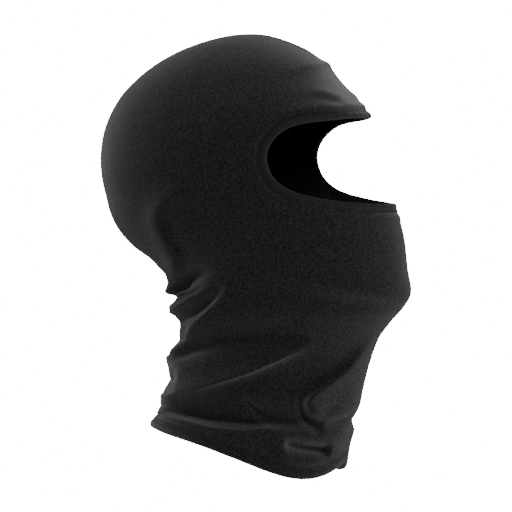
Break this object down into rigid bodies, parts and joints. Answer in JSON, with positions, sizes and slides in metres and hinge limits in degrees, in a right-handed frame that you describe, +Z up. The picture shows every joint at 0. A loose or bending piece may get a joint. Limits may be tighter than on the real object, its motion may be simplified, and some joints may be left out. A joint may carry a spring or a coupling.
{
  "type": "balaclava",
  "caption": "One-hole fleece balaclava with a bound face opening, a crown and back seam and a turned-up stitched hem.",
  "frame": {"origin": "middle of the wearer's head, between the ears", "axes": "+Z up, the face looks along -Y and +X is the wearer's left; the head is tipped back a little, as in the picture"},
  "size_m": [0.1572, 0.2401, 0.332],
  "materials": {
    "fleece": "brushed micro-fleece, black",
    "binding": "smooth stretch jersey, black",
    "elastic": "covered elastic, dark grey",
    "thread": "spun polyester thread, black",
    "label": "blank satin, dark grey"
  },
  "bodies": {
    "root": {"fleece_right": "fleece", "fleece_left": "fleece", "face_binding": "binding", "face_elastic": "elastic", "face_binding_thread": "thread", "crown_seam_allowance": "fleece", "crown_seam_thread": "thread", "hem_fold": "fleece", "hem_thread_lower": "thread", "hem_thread_upper": "thread", "care_label": "label"}
  },
  "joints": []
}
